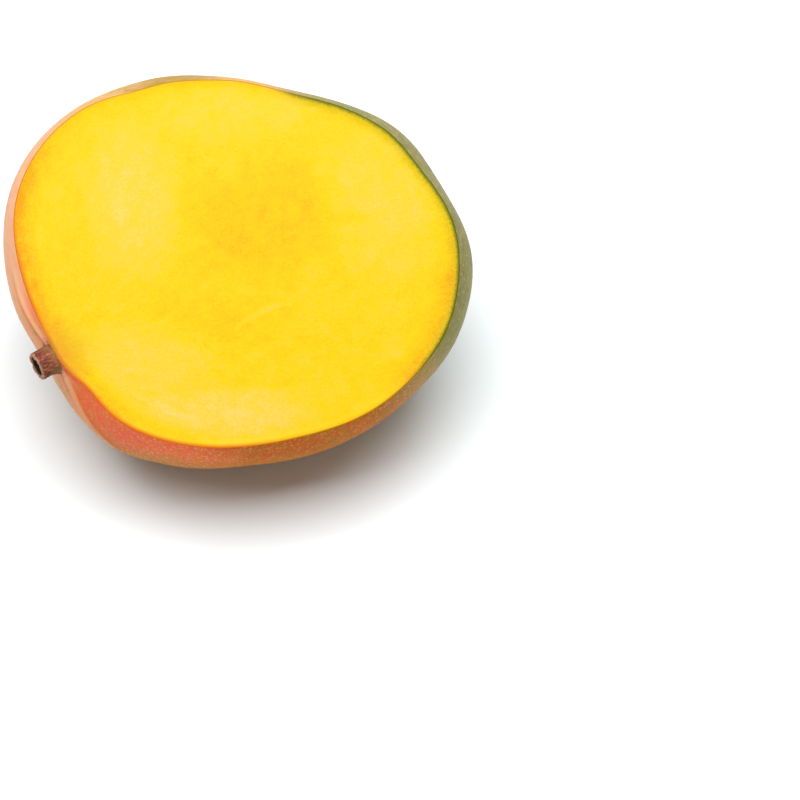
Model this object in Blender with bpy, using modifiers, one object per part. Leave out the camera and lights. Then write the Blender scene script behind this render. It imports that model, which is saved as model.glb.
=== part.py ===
"""A mango with one cheek cut off, lying on a small flat spot, and the stub of its stem.

Both pieces are shaped square to the cut face: there X runs along the fruit, Y across it and Z out
of the cut. Their parent then leans them back to the way the fruit lies, in metres, +Z up.
"""

import math

import bmesh
import bpy
from mathutils import Matrix, Vector

# The fruit, seen square to the cut face
MEAN_RADIUS = 0.0561
OUTLINE_WAVES = (  # waves round the outline, their height, and where one crests, in degrees
    (2, 0.0053, -4.0),  # longer than wide
    (3, 0.0018, -2.0),  # fuller at the tip's shoulders than at the tip
    (4, 0.0005, -41.0),  # a little squared
)
SHOULDER_DIP = 0.0086  # how far the broad hollow round the stem sinks into the outline
SHOULDER_REACH = 0.026
HALF_THICKNESS = 0.046
TIP_TAPER = 0.05  # how much thinner the back grows towards the tip
CUT_HEIGHT = 0.0166  # of the cut face above the fruit's middle

# How it lies
LEAN = math.radians(25.0)  # of the cut face from level
FLAT_SPOT_DEPTH = 0.002  # how far the fruit's weight has pressed its round underside flat
FLAT_SPOT_SPREAD = 0.0005  # skin this close to the surface has spread down onto it

# The stem
STEM_ANGLE = math.radians(202.5)  # round the outline
STEM_HEIGHT = 0.0122  # of its root above the fruit's middle
STEM_RISE = math.radians(7.0)  # of its axis towards the cut face
STEM_LENGTH = 0.0052
STEM_ROOT_RADIUS = 0.0044
STEM_NECK_RADIUS = 0.0033
STEM_LIP_RADIUS = 0.0034
STEM_HOLLOW_RADIUS = 0.0022
STEM_HOLLOW_DEPTH = 0.0012
STEM_SUNK = 0.004  # how far the turned blank runs on into the fruit before it is trimmed
GAP = 0.0003  # between the stem and the skin

FRUIT_SEGMENTS = 72
FRUIT_RINGS = 36
STEM_STEPS = 28


def clear_scene():
    for obj in list(bpy.data.objects):
        bpy.data.objects.remove(obj, do_unlink=True)


def new_collection(name):
    collection = bpy.data.collections.new(name)
    bpy.context.scene.collection.children.link(collection)
    return collection


def new_material(name, colour, roughness):
    material = bpy.data.materials.new(name)
    material.use_nodes = True
    shader = material.node_tree.nodes["Principled BSDF"]
    shader.inputs["Base Color"].default_value = (*colour, 1.0)
    shader.inputs["Roughness"].default_value = roughness
    shader.inputs["Metallic"].default_value = 0.0
    material.diffuse_color = (*colour, 1.0)
    return material


def outline_radius(angle):
    """Distance from the middle to the fruit's widest outline, before the dip round the stem."""
    waves = (
        height * math.cos(count * (angle - math.radians(crest)))
        for count, height, crest in OUTLINE_WAVES
    )
    return MEAN_RADIUS + sum(waves)


def undipped(angle, height):
    """The point of the skin at this angle and height, before the dip round the stem."""
    share = math.sqrt(1.0 - (height / HALF_THICKNESS) ** 2)
    radius = outline_radius(angle) * share
    return Vector((radius * math.cos(angle), radius * math.sin(angle), height))


def dipped(point):
    """Draws a point of the skin in towards the fruit's long middle line, most at the stem."""
    away = (point - undipped(STEM_ANGLE, STEM_HEIGHT)).length
    dip = SHOULDER_DIP * math.exp(-0.5 * (away / SHOULDER_REACH) ** 2)
    radius = math.hypot(point.x, point.y)
    if radius <= dip:
        return point
    share = 1.0 - dip / radius
    return Vector((point.x * share, point.y * share, point.z))


def skin_point(unit):
    """Where a point of the unit sphere goes on the fruit."""
    angle = math.atan2(unit.y, unit.x)
    radius = outline_radius(angle) * math.hypot(unit.x, unit.y)
    height = HALF_THICKNESS * unit.z
    if height < 0.0:
        height *= 1.0 - TIP_TAPER * unit.x
    return dipped(Vector((radius * math.cos(angle), radius * math.sin(angle), height)))


def cut_flat(bm, point, normal):
    """Cuts off what lies beyond a plane and closes the cut with one flat face."""
    geometry = bm.verts[:] + bm.edges[:] + bm.faces[:]
    cut = bmesh.ops.bisect_plane(
        bm, geom=geometry, dist=1e-6, plane_co=point, plane_no=normal, clear_outer=True
    )
    rim = [item for item in cut["geom_cut"] if isinstance(item, bmesh.types.BMEdge)]
    bmesh.ops.contextual_create(bm, geom=rim)


def press_flat(bm, down):
    """Presses the underside flat and returns how far below the fruit's middle the flat spot lies."""
    depth = max(vertex.co.dot(down) for vertex in bm.verts) - FLAT_SPOT_DEPTH
    for vertex in bm.verts:
        below = vertex.co.dot(down) - depth
        if below > -FLAT_SPOT_SPREAD:
            vertex.co -= down * below
    return depth


def fruit_mesh(name, lean):
    bm = bmesh.new()
    bmesh.ops.create_uvsphere(bm, u_segments=FRUIT_SEGMENTS, v_segments=FRUIT_RINGS, radius=1.0)
    for vertex in bm.verts:
        vertex.co = skin_point(vertex.co)
    cut_flat(bm, Vector((0.0, 0.0, CUT_HEIGHT)), Vector((0.0, 0.0, 1.0)))
    depth = press_flat(bm, lean.inverted() @ Vector((0.0, 0.0, -1.0)))
    bmesh.ops.recalc_face_normals(bm, faces=bm.faces[:])
    mesh = bpy.data.meshes.new(name)
    bm.to_mesh(mesh)
    bm.free()
    mesh.shade_smooth()
    mesh.set_sharp_from_angle(angle=math.radians(30.0))
    return mesh, depth


def stem_profile():
    """Half of the stem's section: from the floor of its hollow over the lip and down to the root."""
    lip = STEM_LENGTH
    return (
        (0.0, lip - STEM_HOLLOW_DEPTH),
        (0.7 * STEM_HOLLOW_RADIUS, lip - 0.9 * STEM_HOLLOW_DEPTH),
        (STEM_HOLLOW_RADIUS, lip - 0.3 * STEM_HOLLOW_DEPTH),
        (0.5 * (STEM_HOLLOW_RADIUS + STEM_LIP_RADIUS), lip),
        (0.94 * STEM_LIP_RADIUS, 0.97 * lip),
        (STEM_LIP_RADIUS, 0.88 * lip),
        (STEM_NECK_RADIUS, 0.66 * lip),
        (STEM_NECK_RADIUS + 0.25 * (STEM_ROOT_RADIUS - STEM_NECK_RADIUS), 0.36 * lip),
        (STEM_ROOT_RADIUS, 0.04 * lip),
        (STEM_ROOT_RADIUS, -STEM_SUNK),
        (0.0, -STEM_SUNK),
    )


def stem_object(collection, root, axis):
    mesh = bpy.data.meshes.new("stem_stub")
    bm = bmesh.new()
    corners = [bm.verts.new((radius, 0.0, height)) for radius, height in stem_profile()]
    for upper, lower in zip(corners, corners[1:]):
        bm.edges.new((upper, lower))
    bm.to_mesh(mesh)
    bm.free()
    stem = bpy.data.objects.new("stem_stub", mesh)
    collection.objects.link(stem)
    turned = stem.modifiers.new("turned", "SCREW")
    turned.steps = STEM_STEPS
    turned.render_steps = STEM_STEPS
    turned.use_merge_vertices = True
    turned.merge_threshold = 0.00001
    turned.use_smooth_shade = True
    stem.matrix_basis = Matrix.Translation(root) @ axis.to_track_quat("Z", "X").to_matrix().to_4x4()
    return stem


def trim_to_skin(stem, fruit, collection):
    """Cuts the stem's root to the skin, a hair clear of it, with a slightly swollen copy of the fruit."""
    cutter = bpy.data.objects.new("skin_clearance", fruit.data.copy())
    collection.objects.link(cutter)
    cutter.hide_render = True
    cutter.display_type = "WIRE"
    swell = cutter.modifiers.new("swell", "DISPLACE")
    swell.strength = GAP
    swell.mid_level = 0.0
    trim = stem.modifiers.new("trim", "BOOLEAN")
    trim.operation = "DIFFERENCE"
    trim.solver = "EXACT"
    trim.object = cutter
    return cutter


def main():
    clear_scene()
    parts = new_collection("mango")
    cutters = new_collection("cutters")
    lean = Matrix.Rotation(LEAN, 3, "X")

    mesh, depth = fruit_mesh("mango_half", lean)
    fruit = bpy.data.objects.new("mango_half", mesh)
    parts.objects.link(fruit)
    fruit.data.materials.append(new_material("skin and flesh", (0.90, 0.55, 0.03), 0.42))

    root = dipped(undipped(STEM_ANGLE, STEM_HEIGHT))
    level = math.cos(STEM_RISE)
    axis = Vector((level * math.cos(STEM_ANGLE), level * math.sin(STEM_ANGLE), math.sin(STEM_RISE)))
    stem = stem_object(parts, root, axis)
    stem.data.materials.append(new_material("dry stem", (0.15, 0.07, 0.03), 0.8))
    cutter = trim_to_skin(stem, fruit, cutters)

    rest = bpy.data.objects.new("rest", None)
    parts.objects.link(rest)
    for piece in (fruit, stem, cutter):
        piece.parent = rest
    rest.rotation_euler = (LEAN, 0.0, 0.0)
    rest.location.z = depth
    bpy.context.view_layer.update()
    corners = [fruit.matrix_world @ vertex.co for vertex in fruit.data.vertices]
    corners.append(stem.matrix_world @ Vector((0.0, 0.0, STEM_LENGTH)))
    rest.location.x -= 0.5 * (min(c.x for c in corners) + max(c.x for c in corners))
    rest.location.y -= 0.5 * (min(c.y for c in corners) + max(c.y for c in corners))


main()
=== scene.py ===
# %% [markdown]
# # A mango with one cheek cut off
# The fruit lies on a small flat spot with its cut face leaning towards us. On the real thing flesh and
# skin grew as one piece, so here they are one closed mesh with two finishes, and the dry stub of stem is a
# second piece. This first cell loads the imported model, which gives every size and place below.

# %% Load the frame
import math

import bmesh
import bpy
import numpy as np
from mathutils import Matrix, Vector, kdtree, noise


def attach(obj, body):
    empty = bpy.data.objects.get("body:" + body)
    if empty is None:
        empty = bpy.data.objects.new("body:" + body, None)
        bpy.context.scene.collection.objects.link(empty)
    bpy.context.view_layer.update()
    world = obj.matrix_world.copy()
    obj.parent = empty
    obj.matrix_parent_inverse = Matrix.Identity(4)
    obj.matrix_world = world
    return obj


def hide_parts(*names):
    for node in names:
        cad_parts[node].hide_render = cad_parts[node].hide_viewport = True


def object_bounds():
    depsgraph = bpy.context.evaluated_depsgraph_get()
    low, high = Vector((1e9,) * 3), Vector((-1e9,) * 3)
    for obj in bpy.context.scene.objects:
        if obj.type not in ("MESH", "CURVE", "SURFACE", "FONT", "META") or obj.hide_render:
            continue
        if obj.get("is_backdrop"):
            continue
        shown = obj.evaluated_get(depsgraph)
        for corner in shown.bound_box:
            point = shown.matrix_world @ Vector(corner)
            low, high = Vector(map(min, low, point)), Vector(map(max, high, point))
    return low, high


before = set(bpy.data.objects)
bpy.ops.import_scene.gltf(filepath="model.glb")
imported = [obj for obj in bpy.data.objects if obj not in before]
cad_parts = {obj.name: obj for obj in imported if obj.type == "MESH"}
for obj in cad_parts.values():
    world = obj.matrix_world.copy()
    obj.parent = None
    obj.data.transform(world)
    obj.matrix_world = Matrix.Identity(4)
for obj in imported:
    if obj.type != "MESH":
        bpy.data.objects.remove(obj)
cad_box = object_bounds()
MM = 0.001
print("nodes:", sorted(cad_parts))

# %% [markdown]
# ## The fruit's own directions
# Nearly everything on this fruit is easiest to say seen square to its cut face: along the fruit, across it,
# and out of the cut. The cut is the one big flat face that looks up, so its faces are found by their
# normals, and a matrix is made that turns world places into places on the fruit, in millimetres, and back.
# Depth 0 is the cut face, and the skin is below it.

# %% Find the cut face
LOOKS_UP = 0.85  # no part of the skin faces up as steeply as the cut does

cad_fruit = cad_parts["mango_half"]
cut_polygons = [p for p in cad_fruit.data.polygons if p.normal.z > LOOKS_UP]
cut_area = sum(p.area for p in cut_polygons)
cut_centre = sum((p.center * p.area for p in cut_polygons), Vector()) / cut_area
cut_normal = sum((p.normal * p.area for p in cut_polygons), Vector()).normalized()
lean = math.acos(cut_normal.z)
from_fruit = Matrix.Translation(cut_centre) @ Matrix.Rotation(lean, 4, "X") @ Matrix.Scale(MM, 4)
to_fruit = from_fruit.inverted()
print(f"cut face: {cut_area * 1e4:.0f} cm2, leaning {math.degrees(lean):.1f} degrees, at {cut_centre[:]}")

# %% [markdown]
# ## Working by hand, in code
# The edit-mode operators act on whatever is selected, and the loaded nodes arrive selected. So one helper
# makes a piece the only thing selected before another opens it for editing, and a third selects the faces
# or edges that pass a test, such as lying on the cut.


# %% Helpers for edit mode
def select_only(piece):
    """Deselects everything else and makes this piece the active one."""
    bpy.ops.object.select_all(action="DESELECT")
    piece.select_set(True)
    bpy.context.view_layer.objects.active = piece


def open_for_editing(piece):
    select_only(piece)
    bpy.ops.object.mode_set(mode="EDIT")


def close_editing():
    bpy.ops.object.mode_set(mode="OBJECT")


def select(piece, kind, test):
    """In edit mode, selects just the "EDGE" or "FACE" elements that pass the test, and counts them."""
    bpy.ops.mesh.select_mode(type=kind)
    bpy.ops.mesh.select_all(action="DESELECT")
    bm = bmesh.from_edit_mesh(piece.data)
    elements = {"EDGE": bm.edges, "FACE": bm.faces}[kind]
    chosen = [element for element in elements if test(element)]
    for element in chosen:
        element.select_set(True)
    bm.select_flush_mode()
    bmesh.update_edit_mesh(piece.data)
    return len(chosen)


def round_over(piece, levels):
    """Adds a subdivision surface of this many levels and applies it."""
    modifier = piece.modifiers.new("rounded", "SUBSURF")
    modifier.levels = levels
    modifier.render_levels = levels
    select_only(piece)
    bpy.ops.object.modifier_apply(modifier=modifier.name)


def smoothstep(low, high, value):
    """0 below low, 1 above high, and a smooth step between."""
    share = min(max((value - low) / (high - low), 0.0), 1.0)
    return share * share * (3.0 - 2.0 * share)


print("helpers ready")

# %% [markdown]
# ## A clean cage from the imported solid
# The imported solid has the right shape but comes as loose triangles. A copy of it is merged into one skin,
# its triangles are paired back into the four-sided faces that a subdivision surface likes, and the many
# triangles of the flat cut are dissolved into one face, ready to be modelled.

# %% Copy and clean the fruit
WELD = 1e-5  # m
PAIRING_ANGLE = math.radians(40)  # most that a pair of triangles may fold, or its corners be off square
FLAT_COSINE = 0.999

fruit = bpy.data.objects.new("fruit", cad_fruit.data.copy())
bpy.context.scene.collection.objects.link(fruit)
open_for_editing(fruit)
bpy.ops.mesh.select_all(action="SELECT")
bpy.ops.mesh.remove_doubles(threshold=WELD)
bpy.ops.mesh.tris_convert_to_quads(face_threshold=PAIRING_ANGLE, shape_threshold=PAIRING_ANGLE)
select(fruit, "FACE", lambda face: face.normal.dot(cut_normal) > FLAT_COSINE)
bpy.ops.mesh.dissolve_faces()
bpy.ops.mesh.customdata_custom_splitnormals_clear()
close_editing()
print("cage:", len(fruit.data.vertices), "vertices,", len(fruit.data.polygons), "faces")

# %% [markdown]
# ## Lumps that every fruit has
# No mango is a clean oval. A few broad swellings and hollows, each a bell-shaped push outwards or inwards
# at a place on the fruit, and a little smooth noise make this one's outline its own. It is done on the
# coarse cage, like a sculptor's grab brush, because the subdivision will then round it over. The cut's rim
# stays in the plane of the knife, and the flat spot stays on the table.

# %% Sculpt the broad lumps
LUMPS = (  # angle round the fruit in degrees, depth below the cut, push and reach, all in mm
    (4, 0, 0.9, 7),
    (17, 8, -1.1, 9),
    (23, 0, -0.6, 4),
    (36, 11, 1.5, 9),
    (49, 13, -0.5, 8),
    (70, 6, -0.6, 9),
    (82, 1, 0.9, 6),
    (103, 14, 0.6, 9),
    (115, 1, -1.1, 5),
    (148, 3, 0.6, 10),
    (163, 2, 0.7, 8),
    (180, 10, 1.0, 9),
    (191, 8, 1.4, 7),
    (201, 13, -0.6, 6),
    (206, 1, 1.2, 5),
    (215, 0, -1.1, 4),
    (231, 0, -0.6, 9),
    (229, 17, 0.5, 10),
    (243, 17, -0.6, 7),
    (252, 5, -1.4, 12),
    (282, 14, 0.8, 9),
    (310, 1, 0.8, 12),
    (318, 17, -1.0, 12),
    (333, 0, 0.6, 9),
    (356, 16, 0.7, 8),
)
FULL_PUSH = (8.0, 30.0)  # mm from the line where all angles meet: no push yet, and all of it
ROUGH_PUSH = 0.45  # mm, of the smooth noise
ROUGH_SIZE = 21.0  # mm
RIM_DEPTH = 0.01  # mm: less is on the rim
LEAST_DEPTH = 0.5  # mm, that the rest stays below the cut
ON_TABLE = 1e-5  # m: lower is on the table


def uneven(place, height, size):
    """Smooth noise of this height and size in mm."""
    return height * noise.noise(place / size)


def lump_push(place):
    """How far the lumps push a place on the fruit, away from the line through the cut's middle, in mm."""
    angle = math.atan2(place.y, place.x)
    radius = math.hypot(place.x, place.y)
    total = 0.0
    for degrees, depth, push, reach in LUMPS:
        turn = (angle - math.radians(degrees) + math.pi) % math.tau - math.pi
        away = math.hypot(turn * radius, -place.z - depth) / reach
        total += push * math.exp(-0.5 * away * away)
    return total * smoothstep(*FULL_PUSH, radius)


on_table = [v.index for v in fruit.data.vertices if v.co.z < ON_TABLE]
normals = [v.normal.copy() for v in fruit.data.vertices]
for vertex, normal in zip(fruit.data.vertices, normals):
    place = to_fruit @ vertex.co
    outward = Vector((place.x, place.y, 0.0)).normalized()
    square_normal = (to_fruit.to_3x3() @ normal).normalized()
    on_rim = place.z > -RIM_DEPTH
    rough = uneven(place, ROUGH_PUSH, ROUGH_SIZE)
    place += outward * lump_push(place)
    place += (outward if on_rim else square_normal) * rough
    place.z = 0.0 if on_rim else min(place.z, -LEAST_DEPTH)
    vertex.co = from_fruit @ place
    vertex.co.z = max(vertex.co.z, 0.0)
for index in on_table:
    fruit.data.vertices[index].co.z = 0.0
print("lumps:", len(LUMPS), "pushes on", len(normals), "vertices")

# %% [markdown]
# ## The knife's edge and the cut face
# The rim where skin meets flesh is crisp but not razor sharp, so its edge gets a very small bevel. Inset
# rings then follow the rim inwards, to carry the peel's thickness and the colours that run along it, and
# the middle is filled with a grid, which bends more evenly than one great many-sided face. Two levels of
# subdivision round the skin; the tight rings keep the rim crisp.

# %% Model the rim and the cut face
EDGE_BEVEL = 0.25 * MM
RING_WIDTHS = (0.35 * MM, 0.55 * MM, 1.1 * MM, 2.2 * MM, 3.5 * MM)
BEVEL_SIDES = 8  # no face that the bevel makes has more, and the whole cut has many more
SKIN_LEVELS = 2


def on_cut(face):
    return face.normal.dot(cut_normal) > FLAT_COSINE


def is_cut_rim(edge):
    return sum(on_cut(face) for face in edge.link_faces) == 1


open_for_editing(fruit)
rim_edges = select(fruit, "EDGE", is_cut_rim)
bpy.ops.mesh.bevel(offset=EDGE_BEVEL, segments=2, profile=0.5)
select(fruit, "FACE", lambda face: on_cut(face) and len(face.verts) > BEVEL_SIDES)
for width in RING_WIDTHS:
    bpy.ops.mesh.inset(thickness=width)
bpy.ops.mesh.delete(type="ONLY_FACE")
select(fruit, "EDGE", lambda edge: edge.is_boundary)
bpy.ops.mesh.fill_grid(span=rim_edges // 4, offset=0)
close_editing()
round_over(fruit, SKIN_LEVELS)
print("rim of", rim_edges, "edges; fruit now", len(fruit.data.polygons), "faces")

# %% [markdown]
# ## Closer mesh round the stem
# The skin is drawn into small ridges where it meets the stem, finer than the faces made so far. Only that
# corner is subdivided again, instead of the whole fruit, which keeps the mesh light.

# %% Find the stem and refine the skin round it
STEM_TURN = math.radians(202.5)
STEM_RISE = math.radians(7.0)
STEM_LENGTH = 5.2  # mm
STEM_TILT = math.radians(16.0)  # of the finished stub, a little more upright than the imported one
LIP_DEPTH = 0.05  # mm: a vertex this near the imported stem's end is on its lip
REFINED = 19.0  # mm round the stem's root


def stem_direction(rise):
    """The way a stem points that rises this steeply from the plane of the cut."""
    return Vector((math.cos(STEM_TURN), math.sin(STEM_TURN), math.tan(rise))).normalized()


stem_axis = stem_direction(STEM_RISE)
cad_stem = [to_fruit @ v.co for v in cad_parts["stem_stub"].data.vertices]
stem_top = max(place.dot(stem_axis) for place in cad_stem)
lip = [place for place in cad_stem if place.dot(stem_axis) > stem_top - LIP_DEPTH]
stem_root = sum(lip, Vector()) / len(lip) - stem_axis * STEM_LENGTH

open_for_editing(fruit)
root_place = from_fruit @ stem_root
select(fruit, "FACE", lambda face: (face.calc_center_median() - root_place).length < REFINED * MM)
bpy.ops.mesh.subdivide(number_cuts=2, smoothness=0.0, ngon=False)
close_editing()
print("stem root at", [round(c, 1) for c in stem_root], "mm; fruit now", len(fruit.data.polygons), "faces")

# %% [markdown]
# ## Which part is skin and which is flesh
# Two finishes meet along the knife's edge. Faces that look out of the cut are flesh and the rest are skin.
# The distance of every vertex from the line where they meet is stored with the mesh, because peel, orange
# rim and green fringe all follow that line, and no texture coordinate knows how far away it is.

# %% Sort the faces and measure the distance to the rim
SKIN = 0
FLESH = 1
FLESH_COSINE = 0.8
NEAR_CUT = 1.0  # mm

fruit.data.materials.clear()
for _ in (SKIN, FLESH):
    fruit.data.materials.append(None)
places = [to_fruit @ v.co for v in fruit.data.vertices]
for polygon in fruit.data.polygons:
    looks_out = polygon.normal.dot(cut_normal) > FLESH_COSINE
    near_cut = places[polygon.vertices[0]].z > -NEAR_CUT
    polygon.material_index = FLESH if looks_out and near_cut else SKIN
    polygon.use_smooth = True

finishes_at = {}
for polygon in fruit.data.polygons:
    for index in polygon.vertices:
        finishes_at.setdefault(index, set()).add(polygon.material_index)
rim_vertices = [index for index, kinds in finishes_at.items() if len(kinds) == 2]
rim_tree = kdtree.KDTree(len(rim_vertices))
for index in rim_vertices:
    rim_tree.insert(places[index], index)
rim_tree.balance()
rim_distance = np.array([rim_tree.find(place)[2] for place in places], np.float32)
attribute = fruit.data.attributes.new("rim_mm", "FLOAT", "POINT")
attribute.data.foreach_set("value", rim_distance)
middle_distance = rim_tree.find(Vector())[2]
print("rim:", len(rim_vertices), "vertices; the middle of the flesh is", round(middle_distance, 1), "mm away")

# %% [markdown]
# ## Fine modelling of skin and flesh
# Close up, the skin is drawn into two ridges that run from the stem over the shoulder, one each side, and
# puckers a little round the stem's foot. The cut face is never quite flat: the flesh sinks a hair below the
# peel and keeps faint waves from the knife. All of it moves the vertices one by one, square to the surface.

# %% Sculpt ridges, pucker and the knife's waves
RIDGES = (  # start and end angle in degrees, start and end depth, height and half width in mm
    (206, 244, 2.2, 27.5, 1.0, 1.0),
    (199, 166, 2.6, 4.2, 0.8, 0.8),
)
RIDGE_START = (-0.15, 0.1)  # share of the way along: where a ridge starts to rise, and stands in full
RIDGE_END = (0.35, 1.0)
BEYOND_START = (-0.5, -0.2)  # the same for the side beyond it
BEYOND_EDGE = (-0.4, 1.2)  # mm below the crest
HOLLOW_SHARE = 0.7  # of the ridge's height, for the hollow that runs below its crest
HOLLOW_OFFSET = 3.0  # half widths below the crest
PUCKERS = 9
PUCKER_HEIGHT = 0.12  # mm
PUCKER_REACH = 5.0  # mm
DIMPLE_HEIGHT = 0.9  # mm
DIMPLE_REACH = 6.0  # mm
SINK = 0.14  # mm, of the flesh below the peel
WAVE_HEIGHT = 0.10  # mm
WAVE_SIZE = 13.0  # mm
WAVE_STRETCH = 0.4  # along the fruit, where less is longer
WAVE_SLICE = 3.0  # of the noise: another slice has other waves
SKIN_GRAIN = (0.03, 3.0)  # height and size, mm
FLESH_GRAIN = (0.02, 1.7)  # height and size, mm
SKIN_FADE = (0.0, 1.5)  # mm from the rim: no push yet, and all of it
FLESH_FADE = (0.2, 2.5)


def ridge_terms(place):
    """For each ridge: share of the way along it, mm below its crest, and its height and half width."""
    degrees = math.degrees(math.atan2(place.y, place.x)) % 360.0
    for start, end, shallow, deep, height, width in RIDGES:
        along = (degrees - start) / (end - start)
        crest = shallow + (deep - shallow) * along
        yield along, -place.z - crest, height, width


def ridge_strength(along, start):
    return smoothstep(*start, along) * (1.0 - smoothstep(*RIDGE_END, along))


def ridge_height(place):
    """How high the ridges stand at a place on the skin, in mm, and less than 0 in the hollows beside them."""
    total = 0.0
    for along, below, height, width in ridge_terms(place):
        strength = ridge_strength(along, RIDGE_START)
        crest = math.exp(-0.5 * (below / width) ** 2)
        hollow = math.exp(-0.5 * (below / width - HOLLOW_OFFSET) ** 2)
        total += strength * height * (crest - HOLLOW_SHARE * hollow)
    return total


def beyond_ridge(place):
    """1 on the outer side of a ridge, 0 on the side by the rim and away from the ridges."""
    return max(
        ridge_strength(along, BEYOND_START) * smoothstep(*BEYOND_EDGE, below)
        for along, below, _, _ in ridge_terms(place)
    )


def skin_push(place, distance):
    """How far the fine shapes push a place on the skin outwards, in mm."""
    away = place - stem_root
    turn = math.atan2(away.z, away.x - away.y)
    pucker = PUCKER_HEIGHT * math.cos(PUCKERS * turn) * math.exp(-away.length / PUCKER_REACH)
    dimple = -DIMPLE_HEIGHT * math.exp(-0.5 * (away.length / DIMPLE_REACH) ** 2)
    push = ridge_height(place) + pucker + dimple + uneven(place, *SKIN_GRAIN)
    return push * smoothstep(*SKIN_FADE, distance)


def flesh_push(place, distance):
    """How far the flesh stands out of the plane of the cut, in mm."""
    waves = uneven(Vector((place.x * WAVE_STRETCH, place.y, WAVE_SLICE)), WAVE_HEIGHT, WAVE_SIZE)
    return (waves + uneven(place, *FLESH_GRAIN) - SINK) * smoothstep(*FLESH_FADE, distance)


fruit_normals = [v.normal.copy() for v in fruit.data.vertices]
for vertex, normal, place, distance in zip(fruit.data.vertices, fruit_normals, places, rim_distance):
    kinds = finishes_at[vertex.index]
    if kinds == {FLESH}:
        vertex.co += normal * flesh_push(place, distance) * MM
    elif kinds == {SKIN}:
        vertex.co += normal * skin_push(place, distance) * MM
        vertex.co.z = max(vertex.co.z, 0.0)
for name, measure in (("ridge", ridge_height), ("beyond_ridge", beyond_ridge)):
    attribute = fruit.data.attributes.new(name, "FLOAT", "POINT")
    attribute.data.foreach_set("value", [measure(place) for place in places])
fruit.data.update()
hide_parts("mango_half")
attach(fruit, "root")
print("fruit spans", [round(side * 1000, 1) for side in fruit.dimensions], "mm")

# %% [markdown]
# ## The stub of stem
# A short dry stalk, wide where it grips the fruit, narrower above, with a rolled lip and a shallow hollow
# where it broke off. It is drawn up from a disc by extruding and resizing ring after ring, then the last
# face is inset and pushed down for the hollow. It is made upright at the world's origin and in millimetres,
# where that is easy, and then moved to its place on the fruit.

# %% Model the stem
STEM_SIDES = 24
STEM_RINGS = (  # height above the skin and radius, mm
    (-1.2, 4.7),
    (0.2, 4.4),
    (0.9, 4.0),
    (1.9, 3.7),
    (3.0, 3.55),
    (4.0, 3.6),
    (4.7, 3.7),
    (5.1, 3.6),
    (5.3, 3.2),
)
LIP_INSET = 0.55  # mm
HOLLOW_STEPS = ((-0.5, 0.96), (-1.4, 0.85), (-0.4, 0.5))  # mm upwards, and share of the radius kept
STEM_LEVELS = 3
FISSURES = (0.20, 0.9, 0.35, 0.0)  # height in mm, cells per mm across and up the stem, and slice of the noise
FLAKES = (0.10, 2.1, 2.6, 7.0)
CHIPS = (0.16, 0.7, 0.0, 11.0)
CHIPPED = (4.2, 5.2)  # mm up the stem: no chips yet, and all of them


def extrude_up(distance, resize):
    """Extrudes the selected face along the stem and resizes it."""
    bpy.ops.mesh.extrude_region_move(TRANSFORM_OT_translate={"value": (0.0, 0.0, distance)})
    bpy.ops.transform.resize(value=(resize, resize, 1.0))


def bark_push(spot, height, across, up, slice_at):
    """One layer of the bark's roughness, in mm."""
    return height * noise.noise(Vector((spot.x * across, spot.y * across, spot.z * up + slice_at)))


foot_height, foot_radius = STEM_RINGS[0]
bpy.ops.object.select_all(action="DESELECT")
bpy.ops.mesh.primitive_circle_add(
    vertices=STEM_SIDES, radius=foot_radius, fill_type="NGON", location=(0.0, 0.0, foot_height)
)
stem = bpy.context.object
stem.name = "stem"
bpy.ops.object.transform_apply(location=True)
open_for_editing(stem)
bpy.ops.mesh.select_all(action="SELECT")
for (low, narrow), (high, wide) in zip(STEM_RINGS, STEM_RINGS[1:]):
    extrude_up(high - low, wide / narrow)
bpy.ops.mesh.inset(thickness=LIP_INSET)
for rise, kept in HOLLOW_STEPS:
    extrude_up(rise, kept)
bpy.ops.mesh.select_all(action="SELECT")
bpy.ops.mesh.normals_make_consistent(inside=False)
close_editing()
round_over(stem, STEM_LEVELS)

stem_normals = [v.normal.copy() for v in stem.data.vertices]
for vertex, normal in zip(stem.data.vertices, stem_normals):
    spot = vertex.co
    chips = bark_push(spot, *CHIPS) * smoothstep(*CHIPPED, spot.z)
    vertex.co += normal * (bark_push(spot, *FISSURES) + bark_push(spot, *FLAKES) + chips)
drawn_axis = stem_direction(STEM_TILT)
to_stem = Matrix.Translation(stem_root) @ drawn_axis.to_track_quat("Z", "Y").to_matrix().to_4x4()
stem.data.transform(from_fruit @ to_stem)
for polygon in stem.data.polygons:
    polygon.use_smooth = True
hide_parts("stem_stub")
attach(stem, "root")
print("stem:", len(stem.data.polygons), "faces,", [round(side * 1000, 1) for side in stem.dimensions], "mm")

# %% [markdown]
# ## Writing materials as sums
# A material is a network of nodes, and a network written link by link is hard to read. Here a Signal wraps
# the output of a node, and adding, subtracting or multiplying signals adds the Math nodes for it. A Finish
# is one material; its add method makes any other node from its type, its settings and its inputs.


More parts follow.
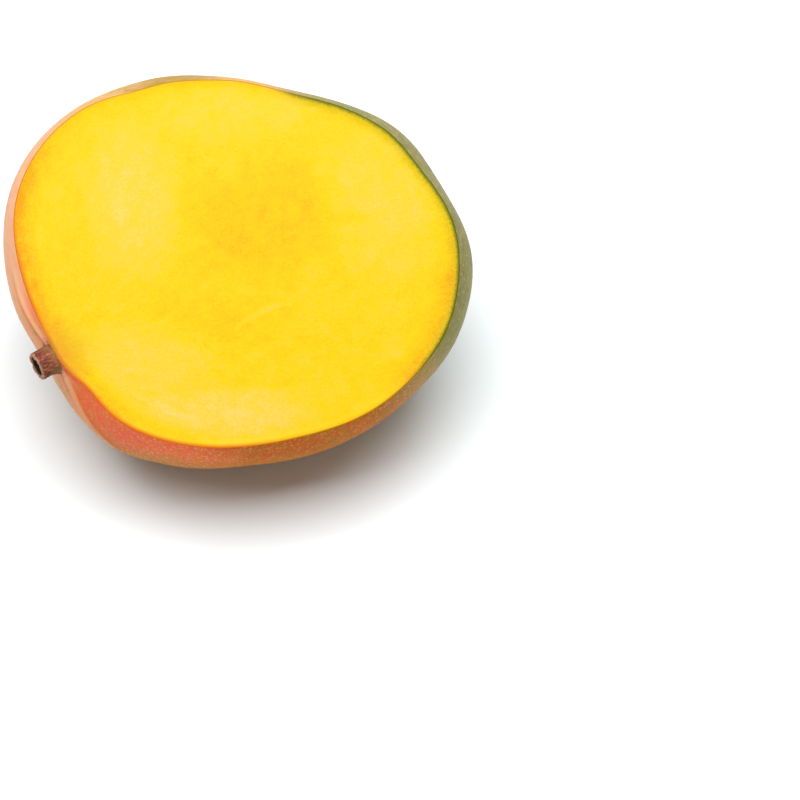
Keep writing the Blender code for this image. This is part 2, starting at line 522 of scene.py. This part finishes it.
# %% The Signal and Finish classes
class Signal:
    """A value on its way through a finish. Sums on it add Math nodes."""

    def __init__(self, finish, socket):
        self.finish = finish
        self.socket = socket

    def math(self, operation, first, second):
        return self.finish.add("ShaderNodeMath", {"operation": operation}, {0: first, 1: second})

    def __add__(self, other):
        return self.math("ADD", self, other)

    def __radd__(self, other):
        return self.math("ADD", other, self)

    def __sub__(self, other):
        return self.math("SUBTRACT", self, other)

    def __rsub__(self, other):
        return self.math("SUBTRACT", other, self)

    def __mul__(self, other):
        return self.math("MULTIPLY", self, other)

    def __rmul__(self, other):
        return self.math("MULTIPLY", other, self)

    def __truediv__(self, other):
        return self.math("DIVIDE", self, other)

    def __rtruediv__(self, other):
        return self.math("DIVIDE", other, self)

    def rise(self, low, high):
        """0 below low, 1 above high, and a smooth step between."""
        values = {"Value": self, "From Min": low, "From Max": high, "To Min": 0.0, "To Max": 1.0}
        return self.finish.add("ShaderNodeMapRange", {"interpolation_type": "SMOOTHSTEP"}, values)

    def fall(self, low, high):
        return 1.0 - self.rise(low, high)


class Finish:
    """One material, and the methods that add its nodes."""

    def __init__(self, name):
        self.material = bpy.data.materials.new(name)
        self.material.use_nodes = True
        self.tree = self.material.node_tree
        self.shader = self.tree.nodes["Principled BSDF"]

    def feed(self, socket, value):
        if isinstance(value, Signal):
            self.tree.links.new(value.socket, socket)
        else:
            socket.default_value = value

    def add(self, kind, settings=None, values=None, output=0):
        node = self.tree.nodes.new(kind)
        for name, setting in (settings or {}).items():
            if name == "stops":
                self.set_stops(node.color_ramp.elements, setting)
            else:
                setattr(node, name, setting)
        for name, value in (values or {}).items():
            self.feed(node.inputs[name], value)
        return Signal(self, node.outputs[output])

    def set_stops(self, elements, stops):
        while len(elements) < len(stops):
            elements.new(1.0)
        for element, (position, colour) in zip(elements, stops):
            element.position = position
            element.color = colour

    def scale(self, share, *stops):
        """A colour scale: reads a colour off its stops at share."""
        return self.add("ShaderNodeValToRGB", {"stops": stops}, {"Fac": share})

    def stored(self, name):
        """A number stored with the mesh."""
        return self.add("ShaderNodeAttribute", {"attribute_name": name}, None, "Fac")

    def mix(self, share, first, second):
        """Blends two colours."""
        return self.add("ShaderNodeMix", {"data_type": "RGBA"}, {0: share, 6: first, 7: second}, 2)

    def noise(self, place, size, detail=2.0, roughness=0.5):
        """Smooth noise from -0.5 to 0.5 with features of about this size, in the units of place."""
        values = {"Vector": place, "Scale": 1.0 / size, "Detail": detail, "Roughness": roughness}
        return self.add("ShaderNodeTexNoise", None, values) - 0.5

    def vector(self, x, y, z):
        return self.add("ShaderNodeCombineXYZ", None, {"X": x, "Y": y, "Z": z})

    def parts(self, vector):
        """The three numbers of a vector."""
        node = self.tree.nodes.new("ShaderNodeSeparateXYZ")
        self.feed(node.inputs[0], vector)
        return [Signal(self, output) for output in node.outputs]

    def place_in(self, matrix):
        """Object coordinates seen in another frame: matrix turns metres into that frame's own units."""
        objects = self.add("ShaderNodeTexCoord", None, None, "Object")
        place, turn, scale = matrix.decompose()
        values = {"Vector": objects, "Location": place, "Rotation": turn.to_euler(), "Scale": scale}
        return self.add("ShaderNodeMapping", None, values)

    def bump(self, height, distance):
        """Bumps this far in metres from a height of 0 to 1."""
        values = {"Height": height, "Distance": distance, "Strength": 1.0}
        self.feed(self.shader.inputs["Normal"], self.add("ShaderNodeBump", None, values))

    def surface(self, **values):
        """Sets the shader's own inputs, with _ for a space in a name."""
        for name, value in values.items():
            self.feed(self.shader.inputs[name.replace("_", " ")], value)


LIGHT_SHARE = 0.86  # colours were chosen on a screen; this much of them suits the strong light of the stage


def linear(value):
    """A screen value from 0 to 255 as the linear number that a shader takes, by the sRGB curve."""
    share = value / 255.0
    return share / 12.92 if share <= 0.04045 else ((share + 0.055) / 1.055) ** 2.4


def paint(red, green, blue):
    """A finish's colour from its three screen values."""
    return (*(linear(value) * LIGHT_SHARE for value in (red, green, blue)), 1.0)


print("orange in linear numbers:", [round(c, 3) for c in paint(255, 165, 0)])

# %% [markdown]
# ## Skin: where a place is, and noise
# The skin's colours follow the fruit, so its finish starts with ways of saying where a place is: along and
# across the fruit, how far below the cut, and which way it faces. Several sizes of noise then break up every
# border, because one size alone looks printed. All of it counts in the fruit's own millimetres, so that a
# size can be checked with a ruler.

# %% Skin places and noises
skin = Finish("mango skin")
place = skin.place_in(to_fruit)
along, across, depth = skin.parts(place)
below_cut = depth * -1.0
flat_place = skin.add("ShaderNodeVectorMath", {"operation": "MULTIPLY"}, {0: place, 1: (1.0, 1.0, 0.0)})
around = skin.add("ShaderNodeVectorMath", {"operation": "NORMALIZE"}, {0: flat_place})

patches = skin.noise(place, size=15.0, detail=3.0)
flecks = skin.noise(place, size=2.4, detail=4.0, roughness=0.65)
grain = skin.noise(place, size=0.55)
mottle = flecks + patches * 0.4 + 0.5
long_place = skin.vector(along * 0.25, across * 0.25, depth * 2.0 + flecks)
streaks = skin.noise(long_place, size=0.9, detail=3.0, roughness=0.6)
longer_place = skin.vector(along * 0.3, across * 0.3, depth * 6.0 + flecks * 2.0)
lines = skin.noise(longer_place, size=0.8)


def side(degrees, start, full, patchy, flecked):
    """1 on the side that faces this way round the fruit, and 0 off it, with a ragged border between.

    Facing counts as a cosine: start and full are where the border begins and ends.
    """
    way = (math.cos(math.radians(degrees)), math.sin(math.radians(degrees)), 0.0)
    facing = skin.add("ShaderNodeVectorMath", {"operation": "DOT_PRODUCT"}, {0: around, 1: way}, "Value")
    return (facing + patches * patchy + flecks * flecked).rise(start, full)


print("skin places and noises:", len(skin.tree.nodes), "nodes")

# %% [markdown]
# ## Skin: the colours round the fruit
# A ripe mango of this kind is red where the sun reached it and green on the shaded side, with orange
# between. Each side gets a scale of neighbouring colours, which the mottling picks from, and the sides are
# laid over one another in order. The ridges by the stem part the red from a paler pink beyond them, partly
# the skin's own colour and partly painted reflection of the white surroundings. The flank below the red is
# painted golden brown as shade where the skin turns under, and the old underside is browner and greener than
# the rest. Along the ridges' crests a pale pink is painted as highlight, and in the hollows below them an
# orange as painted shade.

# %% Skin colours
# Painted shade: golden brown where the skin below the red turns under, away from the light.
PAINTED_FLANK_SHADE = paint(184, 126, 48)
OLIVE = paint(166, 130, 24)
# Painted highlight along the crests of the ridges by the stem.
PAINTED_CREST_HIGHLIGHT = paint(246, 190, 146)
# Painted shade in the hollows below those crests.
PAINTED_HOLLOW_SHADE = paint(226, 128, 78)

peach = skin.scale(
    mottle, (0.3, paint(224, 172, 112)), (0.55, paint(230, 178, 104)), (0.75, paint(196, 162, 76))
)
salmon = skin.scale(mottle, (0.3, paint(255, 168, 124)), (0.55, paint(255, 190, 146)))
russet = skin.scale(mottle, (0.3, paint(212, 84, 6)), (0.52, paint(200, 102, 6)), (0.72, paint(160, 108, 14)))
red = skin.scale(mottle, (0.3, paint(255, 90, 78)), (0.5, paint(255, 108, 60)), (0.75, paint(238, 130, 48)))
# Paler pink beyond the ridges: partly the skin's own colour, partly painted reflection of the white
# surroundings.
rosy_and_reflection = skin.scale(
    mottle, (0.3, paint(255, 150, 116)), (0.55, paint(248, 172, 118)), (0.7, paint(214, 168, 96))
)
old = skin.scale(mottle, (0.3, paint(158, 108, 56)), (0.5, paint(132, 116, 58)), (0.7, paint(106, 110, 52)))
green = skin.scale(
    streaks * 0.55 + lines * 0.55 + flecks * 0.35 + patches * 0.2 + 0.5,
    (0.25, paint(106, 108, 44)),
    (0.5, paint(146, 138, 72)),
    (0.75, paint(188, 172, 116)),
)

beyond = skin.stored("beyond_ridge")
ridge = skin.stored("ridge")
salmon_side = side(178.0, start=0.55, full=0.95, patchy=0.3, flecked=0.0)
red_side = side(225.0, start=0.68, full=0.94, patchy=0.2, flecked=0.15)
russet_side = side(277.0, start=0.52, full=0.84, patchy=0.2, flecked=0.3)
tip_side = side(14.0, start=0.39, full=0.81, patchy=0.26, flecked=0.2)
olive_side = side(103.0, start=0.955, full=0.999, patchy=0.09, flecked=0.05)
olive_patch = olive_side * (below_cut + patches * 22.0).fall(3.0, 20.0)
underside = (below_cut + patches * 14.0).rise(24.0, 44.0)
# Where the painted shade goes: below the cut on the red and russet sides, where the skin turns under.
flank_shade = (below_cut + mottle * 8.0).rise(8.0, 22.0) * (red_side * (1.0 - beyond * 0.8) + russet_side * 0.8)

colour = skin.mix(salmon_side, peach, salmon)
colour = skin.mix(russet_side, colour, russet)
colour = skin.mix(tip_side, colour, green)
# Beyond the ridges: paler pink, partly painted reflection of the white surroundings.
colour = skin.mix(red_side * beyond, colour, rosy_and_reflection)
colour = skin.mix(red_side * (1.0 - beyond), colour, red)
colour = skin.mix(flank_shade * 0.5, colour, PAINTED_FLANK_SHADE)
colour = skin.mix(olive_patch * 0.8, colour, OLIVE)
colour = skin.mix(underside * 0.7, colour, old)
# Painted highlight on the ridge crests.
colour = skin.mix(ridge.rise(0.2, 0.6) * 0.7, colour, PAINTED_CREST_HIGHLIGHT)
# Painted shade in the hollows beside the ridges.
colour = skin.mix(ridge.fall(-0.45, -0.1) * 0.5, colour, PAINTED_HOLLOW_SHADE)
print("skin with its colours:", len(skin.tree.nodes), "nodes")

# %% [markdown]
# ## Skin: pores, scar and shine
# Fine pale pores cover the skin and show most on the red and russet sides. They are the middles of the cells
# of a Voronoi texture, in two sizes, and only a share of the cells has one. A dry scar rings the foot of the
# stem. The skin is waxed by nature, but so thinly that the shine is weak and broad.

# %% Skin pores and surface
BIG_PORES = (0.9, 0.6)  # cells per mm, and the share of them with a pore
SMALL_PORES = (1.7, 0.7)
SCAR_REACH = (4.6, 6.2)  # mm from the stem's root: full scar, and none
SKIN_BUMP = 0.07 * MM
GOLD_PORE = paint(226, 168, 72)
PINK_PORE = paint(252, 166, 106)
GREEN_PORE = paint(204, 188, 132)
SCAR_BROWN = paint(104, 44, 26)


def pores(cells_per_mm, share):
    """Round spots, one in each cell of a Voronoi texture, in this share of the cells."""
    spot_place = skin.vector(along + flecks * 0.8, across + flecks * 0.8, depth * 0.7 + patches)
    cells = {"Vector": spot_place, "Scale": cells_per_mm, "Randomness": 1.0}
    nearest = skin.add("ShaderNodeTexVoronoi", None, cells, "Distance")
    chance = skin.parts(skin.add("ShaderNodeTexVoronoi", None, cells, "Color"))[0]
    return (nearest + grain * 0.35).fall(0.12, 0.5) * chance.fall(share - 0.2, share + 0.2)


big_pores = pores(*BIG_PORES)
small_pores = pores(*SMALL_PORES)
pore_colour = skin.mix(red_side, GOLD_PORE, PINK_PORE)
pore_colour = skin.mix(tip_side, pore_colour, GREEN_PORE)
pore_strength = 0.08 + russet_side * 0.5 + red_side * (1.0 - beyond * 0.8) * 0.4 + tip_side * 0.35
colour = skin.mix(big_pores * pore_strength, colour, pore_colour)
colour = skin.mix(small_pores * pore_strength * 0.6, colour, pore_colour)
speckle = grain.rise(0.0, 0.22) * (0.1 + (russet_side + red_side * 0.6) * 0.35)
colour = skin.mix(speckle, colour, pore_colour)

stem_distance = skin.add("ShaderNodeVectorMath", {"operation": "DISTANCE"}, {0: place, 1: stem_root}, "Value")
scar = (stem_distance + flecks * 2.5).fall(*SCAR_REACH) * (grain * 1.2 + flecks).rise(-0.2, 0.2)
colour = skin.mix(scar * 0.65, colour, SCAR_BROWN)

skin.surface(
    Base_Color=colour,
    Roughness=0.45 + flecks * 0.25,
    Specular_IOR_Level=0.03,
    Subsurface_Weight=0.05,
    Subsurface_Radius=(1.0, 0.4, 0.2),
    Subsurface_Scale=0.002,
)
skin.bump(big_pores * 0.5 + grain * 0.5 + streaks * 0.5, SKIN_BUMP)
print("whole skin:", len(skin.tree.nodes), "nodes")

# %% [markdown]
# ## Flesh: where a place is, and noise
# Everything on the cut face either fans out from the stem, like the fibres, or follows the rim, like the
# short strokes that the peel leaves. So the flesh counts distance and direction from the stem's root,
# direction from the middle, and the stored distance from the rim.

# %% Flesh places and noises
flesh = Finish("mango flesh")
place = flesh.place_in(to_fruit)
along, across, _ = flesh.parts(place)
rim = flesh.stored("rim_mm")
angle = flesh.add("ShaderNodeMath", {"operation": "ARCTAN2"}, {0: across, 1: along})
from_stem = flesh.add("ShaderNodeVectorMath", {"operation": "SUBTRACT"}, {0: place, 1: stem_root})
stem_x, stem_y, _ = flesh.parts(from_stem)
stem_distance = flesh.add("ShaderNodeVectorMath", {"operation": "LENGTH"}, {0: from_stem}, "Value")
stem_angle = flesh.add("ShaderNodeMath", {"operation": "ARCTAN2"}, {0: stem_y, 1: stem_x})

clouds = flesh.noise(place, size=14.0, detail=3.0)
mottling = flesh.noise(place, size=3.2, detail=3.0, roughness=0.6)
grain = flesh.noise(place, size=0.65, detail=3.0, roughness=0.7)
fan_place = flesh.vector(stem_angle * 16.0, stem_distance * 0.16, mottling * 1.5)
fibres = flesh.noise(fan_place, size=1.0, detail=3.0, roughness=0.6)
rim_place = flesh.vector(angle * 95.0, rim * 0.7, mottling * 1.5)
strokes = flesh.noise(rim_place, size=1.0, detail=3.0, roughness=0.6)


def toward(degrees, start, full):
    """1 in this direction from the middle and 0 away from it. Start and full are cosines of the angle off."""
    off = flesh.add("ShaderNodeMath", {"operation": "COSINE"}, {0: angle - math.radians(degrees)})
    return off.rise(start, full)


def blot(x, y, wide, high):
    """A soft-edged oval on the cut face: 1 in its middle and 0 outside."""
    u = (along - x) / wide
    v = (across - y) / high
    return (u * u + v * v + clouds * 1.2).fall(0.0, 1.3)


print("flesh places and noises:", len(flesh.tree.nodes), "nodes")

# %% [markdown]
# ## Flesh: its tone
# Ripe flesh is a strong yellow that runs from nearly orange to butter. One number, the tone, says where on
# that scale a place lies. It drops over the stone, where the flesh is deeper in colour, and along the red
# side's rim. It rises in pale clouds and along one old bruise line, and the fibres and the grain vary it
# everywhere. The two pale clouds low down by the stem are painted sheen of the wet flesh; the other three
# are paler flesh.

# %% Flesh tone
# The first two blots, low down by the stem, are painted sheen of the wet flesh; the other three are paler
# flesh.
PALE_AND_SHEEN_BLOTS = (  # middle, half width, half height in mm, and strength
    (-8.0, -39.0, 28.0, 8.0, 0.9),
    (-26.0, -24.0, 20.0, 13.0, 0.6),
    (-24.0, 18.0, 13.0, 22.0, 0.7),
    (38.0, 12.0, 16.0, 22.0, 0.5),
    (6.0, 38.0, 26.0, 9.0, 0.4),
)
DEEP_BLOTS = ((8.0, 8.0, 24.0, 18.0, 1.0), (-8.0, -14.0, 20.0, 8.0, 0.6))
LINE_START = Vector((-3.6, -18.4))  # of the bruise line, mm
LINE_END = Vector((13.5, -11.5))
LINE_BOW = 0.018  # its bend, per mm

# Paler flesh, and painted sheen of the wet flesh low down by the stem.
pale_and_sheen = sum(blot(x, y, wide, high) * strength for x, y, wide, high, strength in PALE_AND_SHEEN_BLOTS)
deep = sum(blot(x, y, wide, high) * strength for x, y, wide, high, strength in DEEP_BLOTS)
rim_share = 0.1 + toward(200.0, start=0.3, full=0.8) * 0.65 + toward(-22.0, start=0.86, full=0.99) * 0.5
rim_band = (rim + clouds * 3.0).fall(0.8, 7.5) * rim_share

line_length = (LINE_END - LINE_START).length
line_way = (LINE_END - LINE_START).normalized()
line_x = along - LINE_START.x
line_y = across - LINE_START.y
line_along = line_x * line_way.x + line_y * line_way.y
line_bend = line_along * (line_along - line_length) * LINE_BOW
line_off = line_y * line_way.x - line_x * line_way.y + line_bend + mottling * 1.5
line_ends = line_along.rise(0.0, 6.0) * line_along.fall(line_length - 5.5, line_length + 0.5)
bruise = (line_off * line_off).fall(0.0, 0.9) * line_ends

tone = 0.5 + pale_and_sheen * 0.38 + bruise * 0.22 - deep * 0.2 - rim_band * 0.6
tone = tone + clouds * 0.3 + mottling * 0.32 + grain * 0.65 + fibres * 0.42
tone = tone + strokes * rim.fall(2.0, 12.0) * 0.22
colour = flesh.scale(
    tone,
    (0.0, paint(232, 156, 0)),
    (0.25, paint(232, 185, 0)),
    (0.5, paint(232, 197, 0)),
    (0.75, paint(232, 197, 58)),
    (1.0, paint(232, 202, 108)),
)
print("flesh with its tone:", len(flesh.tree.nodes), "nodes")

# %% [markdown]
# ## Flesh: along the rim
# From the outside in come the cut edge of the peel, and then an orange line on the red side, or a fringe
# that fades from dark green to yellow on the green side. Each is a band of the stored distance from the rim,
# with its edge roughened by the strokes and the grain. The foot of the stem stains the flesh beside it.

# %% Flesh rim and surface
FLESH_BUMP = 0.08 * MM
YELLOW_GREEN = paint(194, 168, 0)
DARK_GREEN = paint(108, 112, 0)
ORANGE = paint(218, 118, 6)
BROWN_PEEL = paint(158, 110, 10)
RED_PEEL = paint(206, 92, 22)
GREEN_PEEL = paint(76, 88, 0)
STEM_LINE_BROWN = paint(176, 74, 34)
STAIN_OCHRE = paint(214, 150, 36)

green_side = toward(16.0, start=0.52, full=0.72)
red_side = toward(222.0, start=0.35, full=0.8)
other_sides = 1.0 - green_side
yellow_green = (rim + strokes * 1.2 + grain * 2.5 + mottling * 1.5).fall(0.0, 3.5) * green_side
colour = flesh.mix(yellow_green * 0.8, colour, YELLOW_GREEN)
dark_green = (rim + strokes * 0.6 + grain * 1.2).fall(0.3, 1.25) * green_side
colour = flesh.mix(dark_green * 0.8, colour, DARK_GREEN)
orange_line = rim.fall(0.3, 1.3) * other_sides * (0.2 + red_side * 0.7)
colour = flesh.mix(orange_line, colour, ORANGE)
thin_peel = rim.fall(0.1, 0.4) * other_sides * 0.8
colour = flesh.mix(thin_peel, colour, flesh.mix(red_side, BROWN_PEEL, RED_PEEL))
green_peel = (rim + mottling * 0.4).fall(0.1, 0.6) * green_side
colour = flesh.mix(green_peel * 0.9, colour, GREEN_PEEL)
stem_line = (rim + grain * 0.8).fall(0.4, 1.4) * (stem_distance + mottling * 3.0).fall(5.0, 8.5)
colour = flesh.mix(stem_line * 0.8, colour, STEM_LINE_BROWN)
stain = (stem_distance + mottling * 5.0 + fibres * 2.0).fall(4.5, 13.0)
colour = flesh.mix(stain * 0.5, colour, STAIN_OCHRE)

flesh.surface(
    Base_Color=colour,
    Roughness=0.40 + grain * 0.3 + fibres * 0.1,
    Specular_IOR_Level=0.08,
    Subsurface_Weight=0.12,
    Subsurface_Radius=(1.0, 0.45, 0.08),
    Subsurface_Scale=0.0015,
)
flesh.bump(grain * 0.5 + fibres * 0.5 + mottling * 0.5, FLESH_BUMP)
print("whole flesh:", len(flesh.tree.nodes), "nodes")

# %% [markdown]
# ## Dry stem
# The stub is bark: dark red brown and cracked along its length, paler and more olive at the foot where it
# joins the fruit, with a pale worn lip round a nearly black hollow. Height up the stem and distance from its
# middle tell those places apart.

# %% Stem finish
BARK_BUMP = 0.35 * MM
FOOT_OLIVE = paint(156, 114, 54)
LIP_TAN = paint(196, 142, 104)
NEARLY_BLACK = paint(20, 10, 8)

bark = Finish("dry stem")
place = bark.place_in((from_fruit @ to_stem).inverted())
side_x, side_y, height = bark.parts(place)
level_place = bark.vector(side_x, side_y, 0.0)
radius = bark.add("ShaderNodeVectorMath", {"operation": "LENGTH"}, {0: level_place}, "Value")
long_place = bark.vector(side_x * 1.6, side_y * 1.6, height * 0.5)
cracks = bark.noise(long_place, size=1.0, detail=4.0, roughness=0.65)
scales = bark.noise(place, size=0.5, detail=3.0, roughness=0.6)
worn = bark.noise(place, size=2.6)

colour = bark.scale(
    cracks * 0.8 + scales * 0.5 + worn * 0.5 + 0.5,
    (0.25, paint(52, 16, 14)),
    (0.48, paint(116, 46, 32)),
    (0.62, paint(158, 84, 48)),
    (0.8, paint(206, 142, 88)),
)
foot = (height + scales * 3.0 + worn * 5.0).fall(0.6, 3.4)
lip_wear = (height + scales).rise(4.7, 5.15)
hollow = radius.fall(2.75, 3.0) * height.rise(2.0, 2.4) * height.fall(4.7, 5.2)
colour = bark.mix(foot * 0.65, colour, FOOT_OLIVE)
colour = bark.mix(lip_wear * 0.8, colour, LIP_TAN)
colour = bark.mix(hollow, colour, NEARLY_BLACK)
bark.surface(Base_Color=colour, Roughness=0.78 + scales * 0.3)
bark.bump(cracks + scales * 0.6, BARK_BUMP)
print("bark:", len(bark.tree.nodes), "nodes")

# %% [markdown]
# ## Finishes onto the pieces
# The fruit already has two empty slots, and every face knows whether it is skin or flesh, so the two
# finishes only have to be put in. The stem has one finish all over.

# %% Put the finishes on
fruit.data.materials[SKIN] = skin.material
fruit.data.materials[FLESH] = flesh.material
stem.data.materials.clear()
stem.data.materials.append(bark.material)
flesh_faces = sum(polygon.material_index == FLESH for polygon in fruit.data.polygons)
print(flesh_faces, "faces of flesh and", len(fruit.data.polygons) - flesh_faces, "of skin")

# %% [markdown]
# ## Table, light and camera
# A pale table that the light turns white, one broad soft lamp above and a little behind the fruit, and a
# dim even surround, as in a studio tent. The lamp is wider than it is deep, which softens the shadow most
# at the two ends of the fruit. The long lens looks down from nearly square to the cut face, from a little
# to the left, and aims beside the fruit, which leaves it in the upper left of the view.

# %% Stage
TABLE_SIZE = 8.0  # m
TABLE_COLOUR = (0.885, 0.94, 0.965, 1.0)
TENT_STRENGTH = 0.22
LAMP_WIDTH = 1.15  # m
LAMP_DEPTH = 0.75
LAMP_POWER = 18.5  # W
LAMP_PLACE = Vector((-0.01, 0.07, 1.05))
LENS = 120.0  # mm
AZIMUTH = math.radians(-6.4)
ELEVATION = math.radians(60.5)
DISTANCE = 0.6655  # m, from the point aimed at
AIM_RIGHT = 0.0411  # m, of the cut face's centre
AIM_DOWN = 0.0347

bpy.ops.object.select_all(action="DESELECT")
bpy.ops.mesh.primitive_plane_add(size=TABLE_SIZE)
table = bpy.context.object
table.name = "table"
table_finish = Finish("white table")
table_finish.surface(Base_Color=TABLE_COLOUR, Roughness=0.9)
table.data.materials.append(table_finish.material)
table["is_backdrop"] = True

world = bpy.data.worlds.new("tent")
world.use_nodes = True
tent = world.node_tree.nodes["Background"]
tent.inputs["Color"].default_value = (1.0, 1.0, 1.0, 1.0)
tent.inputs["Strength"].default_value = TENT_STRENGTH
bpy.context.scene.world = world
bpy.context.scene.view_settings.view_transform = "Standard"

lamp = bpy.data.objects.new("overhead", bpy.data.lights.new("overhead", "AREA"))
lamp.data.shape = "RECTANGLE"
lamp.data.size = LAMP_WIDTH
lamp.data.size_y = LAMP_DEPTH
lamp.data.energy = LAMP_POWER
lamp.location = LAMP_PLACE
lamp.rotation_euler = (cut_centre - LAMP_PLACE).to_track_quat("-Z", "Y").to_euler()
bpy.context.scene.collection.objects.link(lamp)

camera = bpy.data.objects.new("camera", bpy.data.cameras.new("camera"))
bpy.context.scene.collection.objects.link(camera)
camera.data.lens = LENS
level = math.cos(ELEVATION)
towards = Vector((math.sin(AZIMUTH) * level, -math.cos(AZIMUTH) * level, math.sin(ELEVATION)))
camera.rotation_euler = towards.to_track_quat("Z", "Y").to_euler()
turn = camera.rotation_euler.to_matrix()
camera.location = cut_centre + towards * DISTANCE + turn @ Vector((AIM_RIGHT, -AIM_DOWN, 0.0))
bpy.context.scene.camera = camera
print("camera at", [round(c, 3) for c in camera.location])

# %% [markdown]
# ## Sizes, and the end
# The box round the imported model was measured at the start. Now the finished pieces are measured the same
# way and both boxes are written down side by side, which shows at once whether a sculpted lump or the stem
# has grown past the size that the model promises.

# %% Write the sizes and finish
sizes = {"cad": [list(corner) for corner in cad_box], "visual": [list(corner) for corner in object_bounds()]}
for name, corners in sizes.items():
    print(name, "box in mm:", [[round(c * 1000, 1) for c in corner] for corner in corners])
